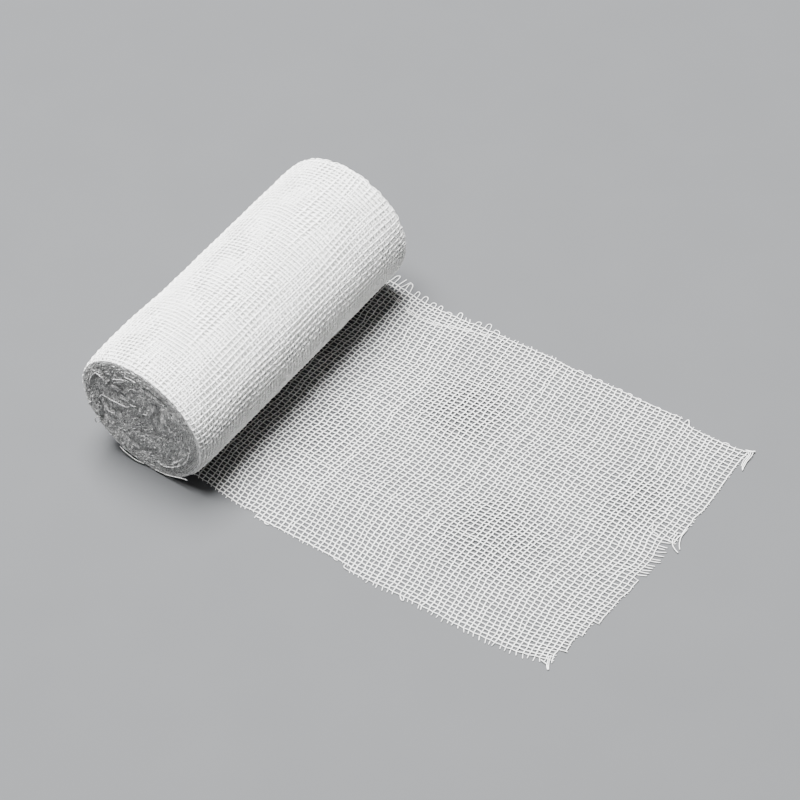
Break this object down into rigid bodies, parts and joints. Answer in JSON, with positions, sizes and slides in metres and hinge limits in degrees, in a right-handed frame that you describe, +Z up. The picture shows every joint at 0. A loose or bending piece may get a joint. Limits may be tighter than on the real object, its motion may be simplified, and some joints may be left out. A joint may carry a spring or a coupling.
{
  "type": "gauze bandage roll",
  "caption": "Roll of open plain-woven white cotton gauze bandage lying on its side, its loose end laid out flat with frayed edges.",
  "frame": {"origin": "bottom centre of the whole part's bounding box", "axes": "+X the way the loose end runs out from under the roll, +Y along the roll's axis, +Z up"},
  "size_m": [0.1772, 0.11, 0.0463],
  "materials": {
    "rolled_gauze": "wound layers of bleached cotton gauze, matte",
    "open_gauze": "single layer of open plain-woven cotton, matte, see-through between its threads",
    "loose_threads": "bleached cotton thread ends, matte"
  },
  "bodies": {
    "root": {"roll": "rolled_gauze", "tail": "open_gauze", "fringe_far": "loose_threads", "fringe_near": "loose_threads", "fringe_end": "loose_threads"}
  },
  "joints": []
}
